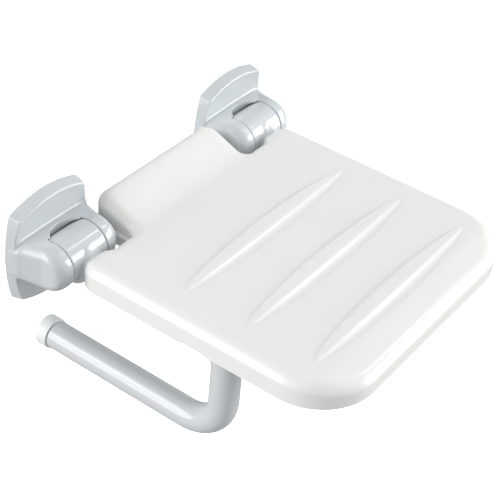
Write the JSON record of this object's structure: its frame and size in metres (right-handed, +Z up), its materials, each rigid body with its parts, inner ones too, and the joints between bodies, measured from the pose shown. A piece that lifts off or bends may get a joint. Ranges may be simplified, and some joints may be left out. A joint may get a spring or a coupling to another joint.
{
  "type": "fold-down shower seat",
  "caption": "Wall-mounted shower seat that folds up: moulded ridged pan on bent support tubes whose capped ends bear on the wall, hinged to cast wall brackets.",
  "frame": {"origin": "on the wall plane, midway between the brackets, at the height of the hinge axis", "axes": "+Z up; +Y into the wall, so the seat projects towards -Y; +X towards the right-hand bracket as seen from the front"},
  "size_m": [0.4518, 0.41, 0.2227],
  "materials": {
    "seat_white": "gloss moulded white",
    "cover_white": "satin moulded white",
    "bracket_coating": "gloss light grey coating on a casting",
    "tube_coating": "gloss light grey coating on tube",
    "cap_grey": "satin grey",
    "plug_grey": "satin light grey",
    "bush_polymer": "plain bearing polymer",
    "stainless": "stainless steel"
  },
  "bodies": {
    "wall_side": {"wall_bracket_left": "bracket_coating", "wall_plate_left": "stainless", "lock_screw_left": "stainless", "hinge_pin_left": "stainless", "pin_plug_left": "plug_grey", "wall_bracket_right": "bracket_coating", "wall_plate_right": "stainless", "lock_screw_right": "stainless", "hinge_pin_right": "stainless", "pin_plug_right": "plug_grey"},
    "seat": {"seat_pan": "seat_white", "base_cover": "cover_white", "hinge_arm_left": "bracket_coating", "hinge_bush_inner_left": "bush_polymer", "hinge_bush_outer_left": "bush_polymer", "friction_screw_left": "stainless", "support_tube_left": "tube_coating", "tube_end_cap_left": "cap_grey", "spigot_screw_left": "stainless", "tube_saddle_1_left": "stainless", "saddle_screw_1_left": "stainless", "cover_screw_1_left": "stainless", "tube_saddle_2_left": "stainless", "saddle_screw_2_left": "stainless", "cover_screw_2_left": "stainless", "hinge_arm_right": "bracket_coating", "hinge_bush_inner_right": "bush_polymer", "hinge_bush_outer_right": "bush_polymer", "friction_screw_right": "stainless", "support_tube_right": "tube_coating", "tube_end_cap_right": "cap_grey", "spigot_screw_right": "stainless", "tube_saddle_1_right": "stainless", "saddle_screw_1_right": "stainless", "cover_screw_1_right": "stainless", "tube_saddle_2_right": "stainless", "saddle_screw_2_right": "stainless", "cover_screw_2_right": "stainless"}
  },
  "joints": [
    {"name": "seat_fold", "type": "hinge", "parent": "wall_side", "child": "seat", "pos_m": [0, -0.044, 0], "axis": [-1, 0, 0], "range_deg": [0, 90]}
  ]
}
